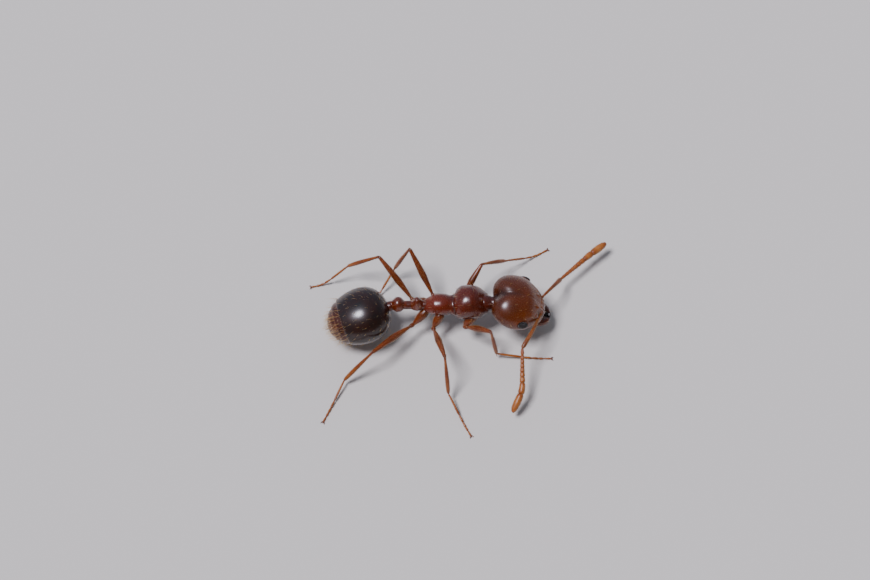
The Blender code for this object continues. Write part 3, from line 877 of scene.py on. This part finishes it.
def build_feeler(word, head, patch):
    """One feeler: a long first joint up from the face, then nine beads, the last two swollen to a club."""
    side = SIDES[word]
    name = "antenna_" + word
    socket = feeler_socket(head, side)
    elbow = meeting(name + "_scape", name + "_funiculus")
    corner = meeting(name + "_funiculus", name + "_club")
    tip = far_end(name + "_club", corner)
    tip += (corner - tip).normalized() * 0.17
    lift = head_matrix().to_3x3() @ Vector((0, 0, 0.10))
    pieces = [tube("scape", straight(socket, elbow, lift), SCAPE, patch, 24, 40, 7,
                   tone=[(0, 0.15), (0.1, 0.24), (0.8, 0.36), (1, 0.26)])]
    path = bent(elbow, corner, tip)
    whole = sum(FEELER_JOINTS)
    done = 0.0
    for number, length in enumerate(FEELER_JOINTS):
        low, high = done / whole - 0.004, (done + length) / whole + 0.002
        girth = 0.042 + 0.022 * (number / 6) ** 1.3
        radii = [(0, girth * 0.84), (0.3, girth * 0.97), (0.75, girth * 1.04), (1, girth * 0.92)]
        if number == 0:
            radii = [(0, 0.026), (0.12, 0.030), (0.6, 0.042), (1, 0.038)]
        if number == 7:
            radii = [(0, 0.058), (0.3, 0.071), (0.8, 0.081), (1, 0.077)]
        if number == 8:
            radii = [(0, 0.073), (0.15, 0.084), (0.5, 0.090), (0.8, 0.076), (0.95, 0.052), (1, 0.038)]
            high = 0.997
        pieces.append(tube("bead", part_of(path, max(low, 0), high), radii, patch + 1 + (number > 6),
                           20, 24, 6, tone=[(0, 0.36), (0.4, 0.48 + 0.04 * number), (1, 0.48)]))
        done += length
    made = join(name + "_skin", pieces)
    return made


# ---------------------------------------------------------------- hairs
ATLAS = 8  # the unwrap has this many patches a side
HAIR_PATCH = 0.003  # side of a hair's own patch of the unwrap
HAIR_SEED = 7
SECTIONS = (0.0, 0.25, 0.5, 0.75)  # of a hair, as shares of its length; its point is at 1
ROOT_DEPTH = 0.012  # how far a hair reaches into the shell
CLEARANCE = 0.002  # between the floor and the hairs under the feet
THICK_HAIR = 0.0042  # radii at the root
FINE_HAIR = 0.0034
DOWN_HAIR = 0.0022


class Bed:
    """A stretch of shell that hairs grow on: how far apart they stand, how long and thick they are, how far
    they lean from upright, and what they lean towards."""

    def __init__(self, thing, apart, length, lean, girth, lie=None, field="growth"):
        self.thing = thing
        self.apart = apart
        self.length = length
        self.lean = lean
        self.girth = girth
        self.lie = lie
        self.field = field


def spaced(points, apart):
    """Those points that stand clear of each other, taken in turn."""
    cells = np.floor(points / apart).astype(int)
    steps = [(i, j, k) for i in (-1, 0, 1) for j in (-1, 0, 1) for k in (-1, 0, 1)]
    taken, chosen = {}, []
    for index, (i, j, k) in enumerate(cells.tolist()):
        near = [other for step in steps for other in taken.get((i + step[0], j + step[1], k + step[2]), ())]
        if near and (np.sum((points[near] - points[index]) ** 2, axis=1) < apart * apart).any():
            continue
        taken.setdefault((i, j, k), []).append(index)
        chosen.append(index)
    return np.array(chosen)


def roots(bed, rng):
    """Where a bed's hairs stand: place, normal, lie, and the centre of each one's patch of the unwrap."""
    mesh = bed.thing.data
    mesh.calc_loop_triangles()
    corners = np.empty(len(mesh.loop_triangles) * 3, int)
    mesh.loop_triangles.foreach_get("vertices", corners)
    corners = corners.reshape(-1, 3)
    points = points_of(bed.thing)
    a, b, c = points[corners].transpose(1, 0, 2)
    area = np.linalg.norm(np.cross(b - a, c - a), axis=1) / 2
    count = int(4 * area.sum() / bed.apart ** 2)
    picked = corners[rng.choice(len(area), count, p=area / area.sum())]
    share = rng.dirichlet((1, 1, 1), count)

    def blend(values):
        return np.einsum("nk,nk...->n...", share, values[picked])

    where = blend(points)
    chosen = spaced(where, bed.apart)
    chosen = chosen[rng.random(len(chosen)) < blend(kept(bed.thing, bed.field))[chosen]]
    lie = blend(kept(bed.thing, "lie"))[chosen] if bed.lie is None else np.tile(bed.lie, (len(chosen), 1))
    place = blend(kept(bed.thing, "place"))[chosen]
    place /= np.linalg.norm(place, axis=1)[:, None]
    patch = kept(bed.thing, "patch")[picked[chosen, 0]]
    across = 0.5 + np.arctan2(place[:, 1], place[:, 2]) / (2 * math.pi)
    along = 0.5 + np.arcsin(np.clip(place[:, 0], -1, 1)) / math.pi
    corner = np.column_stack((patch % ATLAS, patch // ATLAS))
    centre = (corner + 0.04 + 0.92 * np.column_stack((across, along))) / ATLAS
    return where[chosen], blend(points_of(bed.thing, "normal"))[chosen], lie, centre


def unit(vectors):
    """The vectors at a length of 1."""
    return vectors / np.maximum(np.linalg.norm(vectors, axis=1), 1e-9)[:, None]


def build_hairs(name, beds):
    """Tapered, three-sided bristles, each rooted in the shell and bowed over towards its lie."""
    rng = np.random.default_rng(HAIR_SEED)
    points, centres = [], []
    for bed in beds:
        place, normal, lie, centre = roots(bed, rng)
        count = len(place)
        normal = unit(normal)
        lie = unit(lie - normal * np.sum(lie * normal, axis=1)[:, None] + rng.normal(0, 0.18, (count, 3)))
        lean = np.radians(rng.uniform(*bed.lean, count))[:, None]
        length = rng.uniform(*bed.length, count)[:, None]
        ahead = normal * np.cos(lean) + lie * np.sin(lean)
        side = unit(np.cross(ahead, lie + normal * 0.3))
        over = np.cross(ahead, side)
        bow = (lie - normal * 0.3) * 0.22
        root = place - normal * ROOT_DEPTH
        stem = [root + length * (ahead * share + bow * share ** 2) for share in (*SECTIONS, 1.0)]
        rings = []
        for share, middle in zip(SECTIONS, stem):
            radius = bed.girth * (1 - 0.8 * share)
            for corner in range(3):
                turn = corner * 2 * math.pi / 3
                rings.append(middle + radius * (side * math.cos(turn) + over * math.sin(turn)))
        points.append(np.stack([*rings, stem[-1]], axis=1))
        centres.append(centre)
    points, centres = np.concatenate(points), np.concatenate(centres)
    points[..., 2] = np.maximum(points[..., 2], CLEARANCE)
    faces = [(0, 2, 1)]
    for ring in range(len(SECTIONS) - 1):
        for corner in range(3):
            one, other = ring * 3 + corner, ring * 3 + (corner + 1) % 3
            faces.append((one, other, other + 3, one + 3))
    last = 3 * (len(SECTIONS) - 1)
    faces += [(last + corner, last + (corner + 1) % 3, last + 3) for corner in range(3)]
    size = points.shape[1]
    mesh = bpy.data.meshes.new(name)
    mesh.from_pydata(points.reshape(-1, 3).tolist(), [],
                     [tuple(v + size * n for v in face) for n in range(len(points)) for face in faces])
    spots = []
    for face in faces:
        for corner in face:
            turned = corner % 3 / 3
            spots.append((turned - 0.5, corner // 3 / len(SECTIONS) - 0.5))
    unwrap = centres[:, None] + np.array(spots) * HAIR_PATCH
    mesh.uv_layers.new(name="OFBake").data.foreach_set("uv", unwrap.ravel().astype(np.float32))
    hairs = bpy.data.objects.new(name, mesh)
    bpy.context.scene.collection.objects.link(hairs)
    keep(hairs, "tone", np.tile(np.repeat((*SECTIONS, 1.0), [3] * len(SECTIONS) + [1]), len(points)))
    return hairs


def build_coats():
    """Long upright bristles on the body, short ones lying along the limbs, and a thin down on the abdomen."""
    ahead = np.array(head_matrix().to_3x3() @ Vector((1, 0, 0)))
    back = np.array((-1.0, 0.0, 0.0))
    tail = np.array(gaster_matrix().to_3x3() @ Vector((1, 0, 0)))
    on_jaws = [Bed(jaw, 0.075, (0.04, 0.10), (30, 55), FINE_HAIR, ahead) for jaw in jaws]
    on_rear = [Bed(plate, 0.085, (0.12, 0.20), (30, 52), THICK_HAIR, tail) for plate in plates[1:]]
    on_rims = [Bed(plate, 0.065, (0.16, 0.25), (30, 52), THICK_HAIR, tail, "row") for plate in plates]
    gaster_down = [Bed(plate, 0.050, (0.025, 0.045), (62, 76), DOWN_HAIR, tail) for plate in plates]
    coats = {
        "head_hairs": [Bed(head, 0.150, (0.06, 0.15), (8, 40), FINE_HAIR, ahead), *on_jaws],
        "trunk_hairs": [Bed(trunk, 0.125, (0.08, 0.19), (5, 38), FINE_HAIR, back)],
        "waist_hairs": [Bed(waist, 0.085, (0.08, 0.18), (5, 35), FINE_HAIR, back)],
        "gaster_hairs": [Bed(plates[0], 0.140, (0.08, 0.15), (35, 58), FINE_HAIR, tail), *on_rear, *on_rims,
                         *gaster_down],
        "leg_hairs": [Bed(leg, 0.036, (0.04, 0.08), (42, 62), FINE_HAIR) for leg in legs],
        "feeler_hairs": [Bed(feeler, 0.026, (0.028, 0.048), (40, 60), FINE_HAIR) for feeler in feelers],
    }
    return {name: build_hairs(name, beds) for name, beds in coats.items()}


# ---------------------------------------------------------------- assembly
# Every surface is cuticle. The kinds differ in how thick, how tanned and how smooth they set.
# Head: thick plate with the most wax, a dull red-brown that is darker behind and warmer on the face, the
# face's warmth partly a painted glow of light through it, with painted shade in its saddle and feeler pits.
head_brown = shell("head_cuticle", "280C02", "5E2704", "8A4608", coat=0.36, haze=0.38)
# Trunk: thick, smooth plate over muscle, redder than the head, with a larger and whiter highlight, and
# painted shade along its groove and on the neck under the head.
trunk_brown = shell("trunk_cuticle", "260A03", "641E06", "8C3E10", coat=0.55, haze=0.22)
# Waist: small knots of thinner plate, a shade paler, each with a crisp point of light.
waist_brown = shell("waist_cuticle", "280B04", "602208", "8C4212", coat=0.75, haze=0.27)
# Gaster: polished plate tanned nearly black, brown at its rims and underside, its highlight in a grey bloom.
gaster_black = shell("gaster_cuticle", "0A0606", "421704", "80450C",
                     rough=(0.16, 0.26), pits=0.0005, glow=0.05, coat=0.45, haze=0.40)
# Jaws: the hardest cuticle, worn smooth, almost black along the biting edge.
jaw_brown = shell("jaw_cuticle", "140604", "5E2009", "8C4414", haze=0.15)
# Legs: thin-walled tubes that light enters, amber along the shins and feet, with a fine matt grain.
leg_amber = shell("leg_cuticle", "2E1004", "78330C", "B06C26",
                  rough=(0.24, 0.38), pits=0.002, glow=0.2, coat=0.12)
# Feelers: the thinnest tubes, duller than the legs and paler towards the tip.
feeler_amber = shell("feeler_cuticle", "3E1C09", "924A18", "C4823E",
                     rough=(0.30, 0.45), pits=0.002, glow=0.25, coat=0.05)
# Bristles: clear, tapering hairs, deep gold at the root and pale where light goes through them.
bristle_gold = shell("bristle_cuticle", "A06E30", "D8A862", "F6E2B0",
                     rough=(0.30, 0.45), pits=0.0003, glow=0.2, coat=0.3)
# Claws and sting: horn-like, smooth and clear, a warm middle brown.
claw_horn = shell("claw_cuticle", "2A0F08", "6A3416", "A8702E",
                  rough=(0.2, 0.3), pits=0.001, glow=0.1, coat=0.2)
# Eyes: glass-clear lenses over black pigment, so black with a sharp highlight on each lens.
eye_black = shell("eye_cuticle", "070505", "100A0A", "1C1210",
                  rough=(0.10, 0.18), pits=0.0005, glow=0.0, coat=0.8, haze=0.12)

head = build_head()
low, high = (np.array(corner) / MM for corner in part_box("head"))
drawn = points_of(head)
SHIFT = Vector((low + high) / 2 - (drawn.min(0) + drawn.max(0)) / 2)
trunk = build_trunk()
waist = build_waist()
plates = build_gaster()
sting = build_sting()
jaws = [build_jaw(word) for word in SIDES]
eyes = [build_eye(word) for word in SIDES]
mouth = build_mouth()
for thing in (head, trunk, waist, *plates, sting, *jaws, *eyes, mouth):
    move(thing, Matrix.Translation(SHIFT))
legs, feet = [], []
for number, (pair, word) in enumerate(LEGS):
    leg, foot, ahead = build_leg(pair, word, PATCH["leg"] + 4 * number)
    legs.append(leg)
    feet.append((foot, ahead))
claws = build_claws(feet)
feelers = [build_feeler(word, head, PATCH["feeler"] + 4 * number) for number, word in enumerate(SIDES)]
coats = build_coats()
finish_piece(head, head_brown, ["head"])
finish_piece(trunk, trunk_brown, ["pronotum", "mesothorax", "propodeum"])
finish_piece(waist, waist_brown, ["petiole", "postpetiole"])
for number, plate in enumerate(plates, 1):
    finish_piece(plate, gaster_black, ["gaster_ring_%d" % number])
finish_piece(sting, claw_horn)
finish_piece(mouth, jaw_brown)
finish_piece(claws, claw_horn)
for word, jaw, eye, feeler in zip(SIDES, jaws, eyes, feelers):
    finish_piece(jaw, jaw_brown, ["mandible_" + word])
    finish_piece(eye, eye_black, ["eye_" + word])
    finish_piece(feeler, feeler_amber,
                 ["antenna_%s_%s" % (word, part) for part in ("scape", "funiculus", "club")])
for name, coat in coats.items():
    finish_piece(coat, bristle_gold)
for (pair, word), leg in zip(LEGS, legs):
    finish_piece(leg, leg_amber,
                 ["leg_%s_%s_%s" % (pair, word, part) for part in ("coxa", "femur", "tibia", "tarsus")])


# ---------------------------------------------------------------- studio
def build_studio():
    """A floor of matt pale paper under a soft sky, and one broad key light over the ant's left rear."""
    bpy.ops.object.select_all(action="DESELECT")
    bpy.ops.mesh.primitive_plane_add(size=0.6)
    floor = bpy.context.object
    floor.name = "floor"
    paper = bpy.data.materials.new("floor_paper")
    paper.use_nodes = True
    surface = paper.node_tree.nodes["Principled BSDF"]
    surface.inputs["Base Color"].default_value = linear("D8D4CC")
    surface.inputs["Roughness"].default_value = 0.9
    floor.data.materials.append(paper)
    build_sky()
    lamp = bpy.data.lights.new("key", "SUN")
    lamp.energy = 3.8
    lamp.angle = math.radians(18)
    lamp.color = linear("F2F0FF")[:3]
    key = bpy.data.objects.new("key", lamp)
    key.rotation_euler = [math.radians(v) for v in (9, -21, 0)]
    bpy.context.scene.collection.objects.link(key)


def build_sky():
    """Soft light all round, cooler and brighter from behind the ant's left, for a blue-grey sheen."""
    world = bpy.data.worlds.new("studio")
    bpy.context.scene.world = world
    world.use_nodes = True
    tree = world.node_tree
    tree.nodes.clear()
    place = node(tree, "TexCoord")
    aim = node(tree, "VectorMath", {"operation": "DOT_PRODUCT"}, {1: (-0.45, 0.90, 0.0)},
               {0: (place, "Generated")})
    side = node(tree, "MapRange", values={"From Min": -0.7, "From Max": 0.8}, links={"Value": (aim, "Value")})
    ramp = node(tree, "ValToRGB", links={"Fac": (side, "Result")})
    ramp.color_ramp.elements[0].color = linear("7C756E")
    ramp.color_ramp.elements[1].color = linear("CCD8F4")
    light = node(tree, "Background", values={"Strength": 0.52}, links={"Color": (ramp, "Color")})
    node(tree, "OutputWorld", links={"Surface": (light, "Background")})


def build_camera():
    """Sixty degrees above the horizon on the ant's right side, with 22 mm of floor across the frame."""
    lens = bpy.data.cameras.new("camera")
    lens.sensor_width = 36
    lens.lens = 100
    lens.clip_start = 0.001
    lens.clip_end = 10
    distance = 0.0604
    rise = math.radians(60)
    camera = bpy.data.objects.new("camera", lens)
    target = (Vector((0, 0.9815, 0)) + SHIFT) * MM
    camera.location = target + Vector((0, -math.cos(rise), math.sin(rise))) * distance
    camera.rotation_euler = (math.pi / 2 - rise, 0, 0)
    bpy.context.scene.collection.objects.link(camera)
    bpy.context.scene.camera = camera


build_studio()
build_camera()
